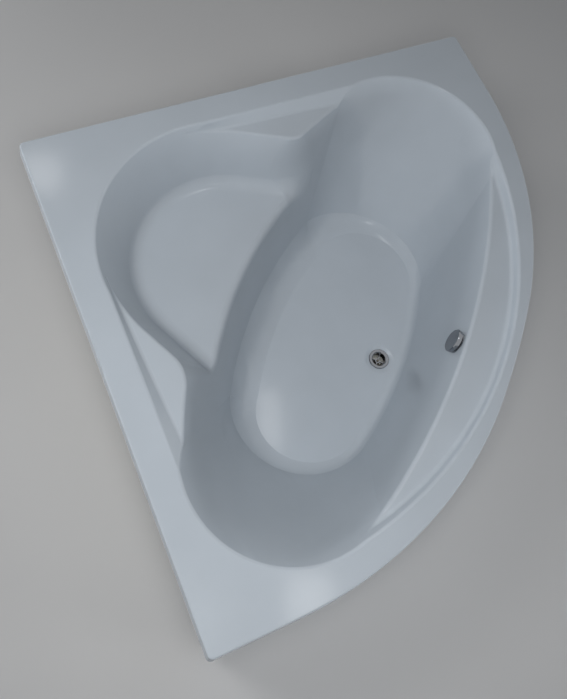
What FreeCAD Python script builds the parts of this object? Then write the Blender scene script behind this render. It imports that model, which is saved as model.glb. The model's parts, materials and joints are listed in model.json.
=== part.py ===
import FreeCAD, Part
import math
import os
import Sketcher

# Corner bathtub with a room-corner seat, an oval well and a crescent ledge along its curved front.
# The part stands on the floor at height zero, its two straight sides along +Y (back wall) and
# -X (left wall). Most pieces are laid out in the diagonal frame: x runs from the room corner to
# the middle of the curved front, y across it. stand() turns that frame onto the two walls.

Vector = FreeCAD.Vector
Rotation = FreeCAD.Rotation

doc = FreeCAD.newDocument("corner_bathtub")
sheet = doc.addObject("Spreadsheet::Sheet", "dim")

SIZES = {
    # overall
    "side": 1500, "rim_height": 600, "front_bulge": 508, "wing": 242, "front_radius": 2500,
    "shell": 6, "skirt": 40, "skirt_flare": 6, "corner_round": 14, "rim_round": 5,
    # basin: rim band along the walls, shelf and ledge level, seat, well
    "rim_band": 95, "rim_edge_round": 10, "shelf_drop": 28, "shelf_draft": 8, "shelf_spread": 42, "cove": 12,
    "shelf_edge_round": 12, "shelf_start": 117, "shelf_end": 220, "shelf_depth": 60, "rim_front": 37,
    "ledge_edge_radius": 1110, "ledge_foot_radius": 1055, "ledge_half": 680,
    "ledge_width": 107, "seat_setback": 293, "seat_overlap": 4, "seat_drop": 186,
    "seat_slope": 100, "seat_splay": 19.3,
    "seat_cove": 55, "seat_edge_round": 26, "nose_round": 150,
    "well_depth": 400, "well_width": 774, "well_front_radius": 2150, "well_rear_radius": 1500,
    "well_overlap": 4, "floor_front_radius": 1350, "floor_rear_radius": 1450,
    "floor_end_radius": 229, "front_lean": 96, "rear_lean": 170, "floor_cove": 100,
    "front_cove": 35,
    # boards and battens
    "board": 16, "board_inset": 55, "waste_clearance": 62, "seat_board_front": 64,
    "batten_width": 45, "batten_thick": 18, "batten_gap": 19, "batten_end": 60,
    "block_long": 90, "block_wide": 60, "block_place": 407,
    # frame
    "tube": 25, "tube_wall": 2, "main_rail_place": -40, "front_rail_place": 85,
    "seat_rail_place": -560, "short_rail_half": 400, "seat_rail_half": 260,
    "spine_offset": 120, "spine_back": -600, "front_post_place": 412, "seat_post_offset": 150,
    "post_plate": 40, "plate_thick": 3, "nut_plate": 8,
    # bolts and screws
    "bolt_radius": 4, "bolt_bore": 4.05, "bolt_head": 7.5, "bolt_head_high": 5.3, "nut_high": 8,
    "screw_radius": 2.5, "screw_bore": 2.55, "screw_head": 5, "screw_head_high": 3,
    "screw_bite": 12, "screw_place": 330, "plate_screw": 2,
    "plate_screw_bore": 2.05, "plate_screw_head": 3.5, "plate_screw_head_high": 2.5,
    "plate_screw_long": 15, "plate_screw_place": 16.25,
    # levelling feet
    "stud_radius": 6, "stud_bore": 6.05, "stud_reach": 40, "pad_radius": 25,
    "pad_collar": 11, "pad_base": 6, "pad_height": 12, "locknut": 8, "locknut_radius": 10.4,
    # waste
    "drain_place": 190, "drain_bore": 27, "drain_recess": 3, "drain_recess_radius": 50,
    "boss_radius": 56, "flange_radius": 35, "flange_edge": 1.5, "flange_thick": 3.5,
    "flange_gasket": 1, "throat_radius": 23, "throat_wall": 2.5, "throat_length": 25,
    "guide_bore": 4.08, "guide_wall": 4, "guide_high": 6, "guide_rise": 3, "arm_width": 3,
    "body_gasket": 4, "waste_flange_radius": 44, "waste_flange_thick": 5, "cup_radius": 31,
    "cup_bore": 25.55, "cup_depth": 47, "cup_floor": 3,
    "spigot_radius": 20, "spigot_bore": 17, "spigot_length": 22,
    "pin_radius": 4, "pin_length": 34, "pin_gap": 0.5,
    "lever_arm": 20, "lever_height": 148, "nose_radius": 4, "arm_thick": 6, "hub_radius": 4.5,
    "shaft_radius": 2.5, "shaft_bore": 2.55, "shaft_tail": 12, "pulley_radius": 16,
    "pulley_width": 8, "pulley_groove": 1.5, "port_height": 158, "port_length": 18,
    "stop_place": 35, "stop_thick": 4, "stop_start": 13, "stop_bottom": 157, "stop_high": 15,
    # overflow
    "overflow_drop": 75, "overflow_bore": 26, "overflow_gasket": 4, "gasket_play": 0.15,
    "gasket_inner": 27.5,
    "rosette_radius": 33, "rosette_gap": 0.4, "rosette_thick": 4, "rosette_hole": 20,
    "sleeve_radius": 25.5, "sleeve_bore": 22.5, "sleeve_length": 18,
    "knob_radius": 36, "knob_gap": 8, "knob_thick": 13, "knob_round": 2.5, "knob_bite": 6,
    "spindle_radius": 4, "spindle_bore": 4.05, "spindle_tail": 42.4, "drum_radius": 6.5,
    "drum_flange": 10, "drum_width": 8, "overflow_flange": 40, "overflow_flange_thick": 4,
    "chamber_radius": 34, "chamber_wall": 3, "chamber_depth": 34, "hose_drop": 28,
    "hose_radius": 15.5, "hose_wall": 2.5, "hose_bend": 50, "hose_nut": 18,
    "hose_nut_radius": 20, "nut_play": 0.05,
    "cable_radius": 2.75, "cable_bore": 2.8, "cable_exit": 30, "cable_bend": 90,
    "cable_low_bend": 55, "cable_side": 43,
    # trap
    "trap_radius": 50, "trap_wall": 3, "trap_top": 104, "trap_bottom": 20, "trap_lid": 4,
    "dip_bottom": 40, "pipe_radius": 20, "pipe_height": 78, "outlet_length": 178,
    "pipe_collar": 3, "trap_port": 22, "union": 18,
    "union_radius": 28, "plug_radius": 15, "plug_head": 22, "plug_high": 6,
    # front panel
    "panel": 5, "panel_inset": 13, "panel_bottom": 14, "panel_top": 24, "panel_lip": 16,
    "panel_wall_gap": 10, "bracket_width": 24, "bracket_thick": 3, "bracket_tall": 30,
    "bracket_place": 300, "bracket_play": 0.05,
    # wall brackets
    "hook_width": 60, "hook_back": 60, "hook_riser": 18, "hook_leg": 55, "hook_thick": 3,
    "hook_place": 300, "hook_hole": 3.5, "hook_pitch": 36, "hook_hole_drop": 35,
}
for row, (alias, value) in enumerate(SIZES.items(), 1):
    sheet.set("A%d" % row, alias)
    sheet.set("B%d" % row, str(value))
    sheet.setAlias("B%d" % row, alias)
doc.recompute()

# Named lengths that several pieces share, as expressions of the sheet's values.
HALF_DIAGONAL = "dim.side * sqrt(0.5)"
RIM_LINE = "(dim.side / 2 - dim.rim_band) * sqrt(2)"
WELL_FRONT = "(dim.front_bulge - dim.rim_front - dim.ledge_width)"
WELL_BACK = "(dim.front_bulge - dim.rim_front - dim.ledge_width - dim.well_width)"
SEAT_BACK = "(dim.seat_setback - dim.side * sqrt(0.5))"
SEAT_RADIUS = "(((%s + %s) * sqrt(0.5) + dim.seat_overlap) / (1 - sqrt(0.5)))" % (RIM_LINE, SEAT_BACK)
FLOOR_TOP = "(dim.rim_height - dim.well_depth)"
FLOOR_UNDER = "(dim.rim_height - dim.well_depth - dim.shell)"
BOSS_UNDER = "(dim.rim_height - dim.well_depth - dim.shell - dim.drain_recess)"
BOARD_UNDER = "(dim.rim_height - dim.well_depth - dim.shell - dim.board)"
RAIL_UNDER = "(dim.rim_height - dim.well_depth - dim.shell - dim.board - dim.tube)"
SPINE_UNDER = "(dim.rim_height - dim.well_depth - dim.shell - dim.board - 2 * dim.tube)"
BATTEN_UNDER = "(dim.rim_height - dim.shell - dim.batten_thick)"
BLOCK_UNDER = "(dim.rim_height - dim.shelf_drop - dim.shell - dim.board)"
SEAT_BOARD_UNDER = "(dim.rim_height - dim.seat_drop - dim.shell - dim.board)"
SKIRT_UNDER = "(dim.rim_height - dim.skirt)"
BATTEN_LINE = "((dim.side / 2 - dim.batten_gap - dim.batten_width / 2) * sqrt(2))"
WING_POST = "(%s + dim.main_rail_place)" % BATTEN_LINE

DIAGONAL = Rotation(Vector(0, 0, 1), -45)
UPRIGHT = Rotation()
ALONG_X = Rotation(Vector(0, 1, 0), Vector(0, 0, 1), Vector(1, 0, 0), "ZXY")
OUTLET_TURN = Rotation(Vector(0, 0, 1), 45)
ALONG_Y = Rotation(Vector(-1, 0, 0), Vector(0, 0, 1), Vector(0, 1, 0), "ZXY")


def size(expression):
    """The value of an expression of the sheet's aliases."""
    return float(sheet.evalExpression(expression))


def stand(item, x, y, z, turn=UPRIGHT):
    """Places a piece by its place along and across the diagonal and its height."""
    item.Placement = FreeCAD.Placement(Vector(), DIAGONAL.multiply(turn))
    item.setExpression("Placement.Base.x", "((%s) + (%s)) * sqrt(0.5)" % (x, y))
    item.setExpression("Placement.Base.y", "((%s) - (%s)) * sqrt(0.5)" % (y, x))
    item.setExpression("Placement.Base.z", z)
    return item


# ---------------------------------------------------------------- sketch helpers

def bind(sketch, kind, *where):
    """Adds one driving dimension; the last entry of where is its expression."""
    value = size(where[-1])
    if kind == "Angle":
        value = math.radians(value)
    number = sketch.addConstraint(Sketcher.Constraint(kind, *where[:-1], value))
    sketch.setExpression("Constraints[%d]" % number, where[-1])


def polygon(sketch, corners):
    """Closed outline of straight edges through corners, each a pair of expressions."""
    first = sketch.GeometryCount
    count = len(corners)
    places = [Vector(size(x), size(y), 0) for x, y in corners]
    edges = [Part.LineSegment(places[i], places[(i + 1) % count]) for i in range(count)]
    sketch.addGeometry(edges, False)
    for i in range(count):
        sketch.addConstraint(Sketcher.Constraint("Coincident", first + i, 2, first + (i + 1) % count, 1))
    for i, (x, y) in enumerate(corners):
        bind(sketch, "DistanceX", -1, 1, first + i, 1, x)
        bind(sketch, "DistanceY", -1, 1, first + i, 1, y)


def circle(sketch, x, y, radius):
    """Full circle with its centre and radius given as expressions."""
    number = sketch.addGeometry(Part.Circle(Vector(size(x), size(y), 0), Vector(0, 0, 1), size(radius)), False)
    bind(sketch, "DistanceX", -1, 1, number, 3, x)
    bind(sketch, "DistanceY", -1, 1, number, 3, y)
    bind(sketch, "Radius", number, radius)


def arc(centre, radius, start, end):
    return Part.ArcOfCircle(Part.Circle(centre, Vector(0, 0, 1), radius), start, end)


def loose_sketch(label, height):
    """A sketch on a level plane at a height measured from the rim's top."""
    sketch = doc.addObject("Sketcher::SketchObject", label)
    sketch.setExpression("Placement.Base.z", height)
    return sketch


def oval(label, height, front, front_radius, rear, rear_radius, end_radius=None, line=None, grow="0"):
    """Oval of four tangent arcs; its ends have a given radius or touch a 45 degree line."""
    sketch = loose_sketch(label, height)
    big_front = "(%s + %s)" % (front_radius, grow)
    big_rear = "(%s + %s)" % (rear_radius, grow)
    front_centre = "(%s + %s - %s)" % (front, grow, big_front)
    rear_centre = "(%s - %s + %s)" % (rear, grow, big_rear)
    cf, cr, rf, rr = size(front_centre), size(rear_centre), size(big_front), size(big_rear)

    def end_circle(radius):
        span = cr - cf
        along = ((rf - radius) ** 2 - (rr - radius) ** 2 + span ** 2) / (2 * span)
        return cf + along, math.sqrt((rf - radius) ** 2 - along ** 2)

    if line is None:
        radius = size("%s + %s" % (end_radius, grow))
    else:
        reach = size(line)
        low, high = 60.0, (size(front) - size(rear)) / 2 - 1
        for _ in range(60):
            radius = (low + high) / 2
            ex, ey = end_circle(radius)
            if (reach - ey + ex) * math.sqrt(0.5) > radius:
                low, high = low, radius
            else:
                low, high = radius, high
    ex, ey = end_circle(radius)
    front_angle = math.atan2(ey, ex - cf)
    rear_angle = math.atan2(ey, ex - cr)
    full = 2 * math.pi
    sketch.addGeometry([
        arc(Vector(cf, 0, 0), rf, -front_angle, front_angle),
        arc(Vector(ex, ey, 0), radius, front_angle, rear_angle),
        arc(Vector(cr, 0, 0), rr, rear_angle, full - rear_angle),
        arc(Vector(ex, -ey, 0), radius, full - rear_angle, full - front_angle),
    ], False)
    for one in range(4):
        sketch.addConstraint(Sketcher.Constraint("Tangent", one, 2, (one + 1) % 4, 1))
    sketch.addConstraint(Sketcher.Constraint("PointOnObject", 0, 3, -1))
    sketch.addConstraint(Sketcher.Constraint("PointOnObject", 2, 3, -1))
    sketch.addConstraint(Sketcher.Constraint("Equal", 1, 3))
    bind(sketch, "Radius", 0, big_front)
    bind(sketch, "Radius", 2, big_rear)
    bind(sketch, "DistanceX", -1, 1, 0, 3, front_centre)
    bind(sketch, "DistanceX", -1, 1, 2, 3, rear_centre)
    if line is None:
        bind(sketch, "Radius", 1, "%s + %s" % (end_radius, grow))
    else:
        guide = sketch.addGeometry(Part.LineSegment(Vector(-reach, 0, 0), Vector(0, reach, 0)), True)
        sketch.addConstraint(Sketcher.Constraint("PointOnObject", guide, 1, -1))
        sketch.addConstraint(Sketcher.Constraint("PointOnObject", guide, 2, -2))
        bind(sketch, "DistanceX", guide, 1, -1, 1, line)
        bind(sketch, "DistanceY", -1, 1, guide, 2, line)
        sketch.addConstraint(Sketcher.Constraint("Tangent", guide, 1))
    return sketch


def horseshoe(sketch, back, radius, mouth, grow="0"):
    """Seat outline: a round back, two sides that open by the splay angle, a straight mouth."""
    big = "(%s + %s)" % (radius, grow)
    centre = "(%s - %s + %s)" % (back, grow, big)
    cx, r, lean, end = size(centre), size(big), math.radians(size("dim.seat_splay")), size(mouth)
    tx, ty = cx - r * math.sin(lean), r * math.cos(lean)
    ey = ty + (end - tx) * math.tan(lean)
    start = math.pi / 2 + lean
    sketch.addGeometry([
        arc(Vector(cx, 0, 0), r, start, 2 * math.pi - start),
        Part.LineSegment(Vector(tx, -ty, 0), Vector(end, -ey, 0)),
        Part.LineSegment(Vector(end, -ey, 0), Vector(end, ey, 0)),
        Part.LineSegment(Vector(end, ey, 0), Vector(tx, ty, 0)),
    ], False)
    sketch.addConstraint(Sketcher.Constraint("Tangent", 0, 2, 1, 1))
    sketch.addConstraint(Sketcher.Constraint("Coincident", 1, 2, 2, 1))
    sketch.addConstraint(Sketcher.Constraint("Coincident", 2, 2, 3, 1))
    sketch.addConstraint(Sketcher.Constraint("Tangent", 3, 2, 0, 1))
    sketch.addConstraint(Sketcher.Constraint("PointOnObject", 0, 3, -1))
    sketch.addConstraint(Sketcher.Constraint("Symmetric", 2, 1, 2, 2, -1))
    bind(sketch, "Radius", 0, big)
    bind(sketch, "DistanceX", -1, 1, 0, 3, centre)
    bind(sketch, "DistanceX", -1, 1, 2, 1, mouth)
    sketch.addConstraint(Sketcher.Constraint("Angle", 1, -lean))
    sketch.setExpression("Constraints[%d]" % (sketch.ConstraintCount - 1), "-dim.seat_splay")


def rim_outline(label, height, inset):
    """Plan of the bath: two wall sides, two short wings and the curved front, all moved in."""
    sketch = loose_sketch(label, height)
    draw_rim_outline(sketch, inset)
    return sketch


def draw_rim_outline(sketch, inset):
    corner = "(%s - (%s) * sqrt(2))" % (HALF_DIAGONAL, inset)
    wing_x = "((dim.wing - (%s)) * sqrt(0.5))" % inset
    wing_y = "(%s - (dim.wing + (%s)) * sqrt(0.5))" % (HALF_DIAGONAL, inset)
    middle = "(dim.front_radius - (%s))" % inset
    centre = "(dim.front_bulge - dim.front_radius)"
    d, wx, wy, rc, c = size(corner), size(wing_x), size(wing_y), size(middle), size(centre)
    side = (rc ** 2 - (wx - c) ** 2 - wy ** 2) / (2 * rc - math.sqrt(2) * (wx - c + wy))
    sx, sy = wx - side * math.sqrt(0.5), wy - side * math.sqrt(0.5)
    turn = math.atan2(sy, sx - c)
    eighth = math.pi / 4
    first = sketch.GeometryCount
    sketch.addGeometry([
        arc(Vector(c, 0, 0), rc, -turn, turn),
        arc(Vector(sx, sy, 0), side, turn, eighth),
        Part.LineSegment(Vector(wx, wy, 0), Vector(0, d, 0)),
        Part.LineSegment(Vector(0, d, 0), Vector(-d, 0, 0)),
        Part.LineSegment(Vector(-d, 0, 0), Vector(0, -d, 0)),
        Part.LineSegment(Vector(0, -d, 0), Vector(wx, -wy, 0)),
        arc(Vector(sx, -sy, 0), side, -eighth, -turn),
    ], False)
    front, upper, wing, wall, left, low_wing, lower = range(first, first + 7)
    for one, other in ((front, upper), (upper, wing), (low_wing, lower), (lower, front)):
        sketch.addConstraint(Sketcher.Constraint("Tangent", one, 2, other, 1))
    for one, other in ((wing, wall), (wall, left), (left, low_wing)):
        sketch.addConstraint(Sketcher.Constraint("Coincident", one, 2, other, 1))
    sketch.addConstraint(Sketcher.Constraint("PointOnObject", front, 3, -1))
    sketch.addConstraint(Sketcher.Constraint("PointOnObject", wall, 1, -2))
    sketch.addConstraint(Sketcher.Constraint("PointOnObject", left, 1, -1))
    sketch.addConstraint(Sketcher.Constraint("Symmetric", wall, 1, left, 2, -1))
    bind(sketch, "Radius", front, middle)
    bind(sketch, "DistanceX", -1, 1, front, 3, centre)
    bind(sketch, "DistanceY", -1, 1, wall, 1, corner)
    bind(sketch, "DistanceX", left, 1, -1, 1, corner)
    bind(sketch, "DistanceX", -1, 1, wing, 1, wing_x)
    bind(sketch, "DistanceY", -1, 1, wing, 1, wing_y)
    bind(sketch, "DistanceX", -1, 1, low_wing, 2, wing_x)
    bind(sketch, "DistanceY", low_wing, 2, -1, 1, wing_y)


# ---------------------------------------------------------------- solid helpers

def loft(label, lower, upper):
    item = doc.addObject("Part::Loft", label)
    item.Sections = [lower, upper]
    item.Solid = True
    item.Ruled = True
    return item


def fuse(label, *pieces):
    item = doc.addObject("Part::MultiFuse", label)
    item.Shapes = list(pieces)
    item.Refine = True
    return item


def cut(label, base, tool):
    item = doc.addObject("Part::Cut", label)
    item.Base = base
    item.Tool = tool
    return item


def face_angle(shape, edge):
    """Angle between the two faces that meet along an edge, in degrees; 0 where they run smooth."""
    faces = shape.ancestorsOfType(edge, Part.Face)
    if len(faces) < 2:
        return 0
    point = edge.valueAt((edge.FirstParameter + edge.LastParameter) / 2)
    normals = [face.normalAt(*face.Surface.parameter(point)) for face in faces[:2]]
    return math.degrees(normals[0].getAngle(normals[1]))


def level(edge, height):
    """Whether an edge lies at one height, measured from the rim's top."""
    box = edge.BoundBox
    return abs(box.ZMin - height) < 0.05 and abs(box.ZMax - height) < 0.05


def rounded(label, base, wanted, radius):
    """Rounds the edges that wanted() picks; radius() gives the size at a vertex."""
    doc.recompute()
    picked = []
    for number, edge in enumerate(base.Shape.Edges, 1):
        if wanted(base.Shape, edge):
            first, last = edge.Vertexes[0].Point, edge.Vertexes[-1].Point
            picked.append((number, radius(first), radius(last)))
    item = doc.addObject("Part::Fillet", label)
    item.Base = base
    item.Edges = picked
    return item


def new_body(label):
    body = doc.addObject("PartDesign::Body", label)
    body.Label = label
    return body


def body_sketch(body, role, offset=None):
    sketch = body.newObject("Sketcher::SketchObject", body.Name + "_outline")
    plane = next(item for item in body.Origin.OriginFeatures if item.Role == role)
    sketch.AttachmentSupport = [(plane, "")]
    sketch.MapMode = "FlatFace"
    if offset is not None:
        sketch.setExpression("AttachmentOffset.Base.z", offset)
    return sketch


def pad(body, sketch, length, both=False, back=False):
    """Adds a sketch's area to a body over a length, ahead of it, behind it or both ways."""
    feature = body.newObject("PartDesign::Pad", body.Name + "_pad")
    feature.Profile = sketch
    feature.setExpression("Length", length)
    feature.Midplane = both
    feature.Reversed = back
    return feature


def turned(label, corners):
    """Round piece about its own upright axis from (radius, height) corners."""
    body = new_body(label)
    sketch = body_sketch(body, "XZ_Plane")
    polygon(sketch, corners)
    feature = body.newObject("PartDesign::Revolution", body.Name + "_turn")
    feature.Profile = sketch
    feature.ReferenceAxis = (sketch, ["V_Axis"])
    feature.Angle = 360
    return body


def less(body, feature):
    """Recomputes a cutting feature and makes sure that it took material away."""
    before = body.Shape.Volume
    doc.recompute()
    if body.Shape.Volume > before - 1:
        raise RuntimeError("nothing cut in " + body.Label)
    return feature


def hollowed_out(body, corners):
    """Cuts a round hollow about the body's upright axis from (radius, height) corners."""
    sketch = body_sketch(body, "XZ_Plane")
    polygon(sketch, corners)
    doc.recompute()
    feature = body.newObject("PartDesign::Groove", body.Name + "_hollow")
    feature.Profile = sketch
    feature.ReferenceAxis = (sketch, ["V_Axis"])
    feature.Angle = 360
    return less(body, feature)


def drilled(body, role, circles, way=0):
    """Cuts round holes from an origin plane: both ways, or only ahead (1) or behind (-1)."""
    sketch = body_sketch(body, role)
    for x, y, radius in circles:
        circle(sketch, x, y, radius)
    doc.recompute()
    feature = body.newObject("PartDesign::Pocket", body.Name + "_holes")
    feature.Profile = sketch
    feature.Type = "ThroughAll"
    feature.Midplane = way == 0
    feature.Reversed = way > 0
    return less(body, feature)


def rectangle(x0, y0, x1, y1):
    return [(x0, y0), (x1, y0), (x1, y1), (x0, y1)]


def square(half):
    return rectangle("-" + half, "-" + half, half, half)


def hexagon(radius):
    turns = range(0, 360, 60)
    return [("%s * cos(%d)" % (radius, turn), "%s * sin(%d)" % (radius, turn)) for turn in turns]


def tube(label, length, holes=()):
    """Square steel tube along its own z axis, open at both ends, with holes across it."""
    body = new_body(label)
    sketch = body_sketch(body, "XY_Plane")
    polygon(sketch, square("(dim.tube / 2)"))
    polygon(sketch, square("(dim.tube / 2 - dim.tube_wall)"))
    pad(body, sketch, length)
    if holes:
        drilled(body, "XZ_Plane", [("0", place, radius) for place, radius in holes])
    return body


def board(label, corners, thick, role="XY_Plane", both=False):
    """Flat piece of one thickness from its outline."""
    body = new_body(label)
    sketch = body_sketch(body, role)
    polygon(sketch, corners)
    pad(body, sketch, thick, both)
    return body


def ring(label, inner, outer, bottom, top):
    return turned(label, rectangle(inner, bottom, outer, top))


def hex_ring(label, radius, bore, length):
    """Nut of six flats about the middle of its own length."""
    body = new_body(label)
    sketch = body_sketch(body, "XY_Plane")
    polygon(sketch, hexagon(radius))
    circle(sketch, "0", "0", bore)
    pad(body, sketch, length, both=True)
    return body


def screw(label, radius, head_radius, head_high, length):
    """Screw that stands on its head: the head's inner face is at height zero."""
    return turned(label, [("0", "-" + head_high), (head_radius, "-" + head_high),
                          (head_radius, "0"), (radius, "0"), (radius, length), ("0", length)])


def spider(body, bottom, high, reach):
    """Adds a cross with a guide ring inside a round bore."""
    arm = "(dim.arm_width / 2)"
    sketch = body_sketch(body, "XY_Plane", bottom)
    near, far = ("-" + arm, arm), ("-" + reach, reach)
    polygon(sketch, [(far[0], near[0]), (near[0], near[0]), (near[0], far[0]), (near[1], far[0]),
                     (near[1], near[0]), (far[1], near[0]), (far[1], near[1]), (near[1], near[1]),
                     (near[1], far[1]), (near[0], far[1]), (near[0], near[1]), (far[0], near[1])])
    pad(body, sketch, high)
    sketch = body_sketch(body, "XY_Plane", bottom)
    circle(sketch, "0", "0", "dim.guide_bore + dim.guide_wall")
    pad(body, sketch, high)


def cylinder(label, radius, height, x="0", y="0", z="0"):
    """Plain round tool, used to cut holes."""
    item = doc.addObject("Part::Cylinder", label)
    item.setExpression("Radius", radius)
    item.setExpression("Height", height)
    item.setExpression("Placement.Base.x", x)
    item.setExpression("Placement.Base.y", y)
    item.setExpression("Placement.Base.z", z)
    return item


def aimed(label, radius, start, way):
    """Round tool from a point along a direction whose length is the tool's length."""
    item = doc.addObject("Part::Cylinder", label)
    item.setExpression("Radius", radius)
    item.Height = way.Length
    item.Placement = FreeCAD.Placement(start, Rotation(Vector(0, 0, 1), way))
    return item


def route(points, bends):
    """Wire of straight runs through points; each inner corner is rounded by its bend radius."""
    edges = []
    here = points[0]
    for before, corner, after, radius in zip(points, points[1:], points[2:], bends):
        back = (before - corner).normalize()
        ahead = (after - corner).normalize()
        half = back.getAngle(ahead) / 2
        middle = (back + ahead).normalize()
        start = corner + back * (radius / math.tan(half))
        end = corner + ahead * (radius / math.tan(half))
        top = corner + middle * (radius / math.sin(half) - radius)
        edges.append(Part.LineSegment(here, start).toShape())
        edges.append(Part.Arc(start, top, end).toShape())
        here = end
    edges.append(Part.LineSegment(here, points[-1]).toShape())
    return Part.Wire(edges)


def swept(label, wire, radius, bore=0):
    """Round hose or cable along a wire, checked against its section times the wire's length."""
    start = wire.Edges[0].Vertexes[0].Point
    ahead = wire.Edges[0].tangentAt(wire.Edges[0].FirstParameter)

    def along(r):
        section = Part.Wire([Part.makeCircle(r, start, ahead)])
        return wire.makePipeShell([section], True, True)

    solid = along(radius)
    if bore:
        solid = solid.cut(along(bore))
    expected = math.pi * (radius ** 2 - bore ** 2) * wire.Length
    if abs(solid.Volume / expected - 1) > 0.01:
        raise RuntimeError("%s has the wrong volume" % label)
    item = doc.addObject("Part::Feature", label)
    item.Label = label
    item.Shape = solid
    return item


def spot(x, y, z, turn=UPRIGHT):
    """Placement in the room from a place along and across the diagonal, in numbers."""
    return FreeCAD.Placement(DIAGONAL.multVec(Vector(x, y, z)), DIAGONAL.multiply(turn))


def copies(label, master, places):
    """A group of separate equal solids: one master piece at several placements."""
    doc.recompute()
    solids = []
    for place in places:
        solid = master.Shape.copy()
        solid.Placement = place
        solids.append(solid)
    return group(label, solids)


def group(label, solids):
    item = doc.addObject("Part::Feature", label)
    item.Label = label
    item.Shape = Part.makeCompound(solids)
    return item


nodes = []


def keep(item):
    """Marks a finished piece as one that is written out."""
    nodes.append(item)
    return item


# ---------------------------------------------------------------- the bath shell

def seat_space(name, grow):
    """Space over the seat: a straight pad whose walls are drafted, with a cove round its floor."""
    mouth = "(%s + 2 * dim.rear_lean)" % WELL_BACK
    body = new_body(name + "_seat")
    sketch = body_sketch(body, "XY_Plane")
    horseshoe(sketch, SEAT_BACK, SEAT_RADIUS, mouth, grow)
    block = pad(body, sketch, "dim.seat_drop + " + grow, back=True)
    doc.recompute()
    end = size(mouth)
    walls = ["Face%d" % number for number, face in enumerate(block.Shape.Faces, 1)
             if face.BoundBox.ZLength > 1 and face.BoundBox.XMin < end - 1]
    draft = body.newObject("PartDesign::Draft", body.Name + "_draft")
    draft.Base = (block, walls)
    draft.NeutralPlane = (sketch.AttachmentSupport[0][0], [""])
    draft.setExpression("Angle", "atan(dim.seat_slope / dim.seat_drop)")
    draft.Reversed = True
    doc.recompute()
    if draft.Shape.Volume > block.Shape.Volume:
        raise RuntimeError("the seat's walls lean outward")
    depth = -size("dim.seat_drop + " + grow)
    edges = ["Edge%d" % number for number, edge in enumerate(draft.Shape.Edges, 1)
             if level(edge, depth) and edge.BoundBox.XMin < end - 1]
    cove = body.newObject("PartDesign::Fillet", body.Name + "_cove")
    cove.Base = (draft, edges)
    cove.setExpression("Radius", "dim.seat_cove + " + grow)
    return body


def crescent(label, height, apex, radius, half):
    """Front half of the ledge recess: one arc closed by its chord."""
    sketch = loose_sketch(label, height)
    r, top, h = size(radius), size(apex), size(half)
    spread = math.asin(h / r)
    x = top - r + r * math.cos(spread)
    sketch.addGeometry([
        arc(Vector(top - r, 0, 0), r, -spread, spread),
        Part.LineSegment(Vector(x, h, 0), Vector(x, -h, 0)),
    ], False)
    sketch.addConstraint(Sketcher.Constraint("Coincident", 0, 2, 1, 1))
    sketch.addConstraint(Sketcher.Constraint("Coincident", 1, 2, 0, 1))
    sketch.addConstraint(Sketcher.Constraint("PointOnObject", 0, 3, -1))
    sketch.addConstraint(Sketcher.Constraint("Vertical", 1))
    bind(sketch, "Radius", 0, radius)
    bind(sketch, "DistanceX", -1, 1, 0, 3, "%s - %s" % (apex, radius))
    bind(sketch, "DistanceY", -1, 1, 0, 2, half)
    return sketch


def basin_space(name, grow):
    """Space of well and seat, grown outward by the shell's thickness for the outer face."""
    floor_front = "(%s - dim.front_lean)" % WELL_FRONT
    floor_back = "(%s + dim.rear_lean)" % WELL_BACK
    line = "(%s + (dim.well_overlap + %s) * sqrt(2))" % (RIM_LINE, grow)
    well = loft(name + "_well",
                oval(name + "_well_top", "0", WELL_FRONT, "dim.well_front_radius", WELL_BACK,
                     "dim.well_rear_radius", line=line, grow=grow),
                oval(name + "_well_floor", "-(dim.well_depth + %s)" % grow, floor_front,
                     "dim.floor_front_radius", floor_back, "dim.floor_rear_radius",
                     end_radius="dim.floor_end_radius", grow=grow))
    depth = -size("dim.well_depth + " + grow)
    front_cove, rear_cove = size("dim.front_cove + " + grow), size("dim.floor_cove + " + grow)
    well = rounded(name + "_well_cove", well, lambda shape, edge: level(edge, depth),
                   lambda point: front_cove if point.x > 0 else rear_cove)

    tub = fuse(name + "_tub", well, seat_space(name, grow))
    seat_depth = -size("dim.seat_drop + " + grow)
    low = size("dim.seat_edge_round - " + grow)
    high = size("dim.nose_round - " + grow)
    return rounded(name + "_nose", tub,
                   lambda shape, edge: not level(edge, 0) and face_angle(shape, edge) > 3,
                   lambda point: high if point.z > seat_depth / 2 else low)


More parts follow.
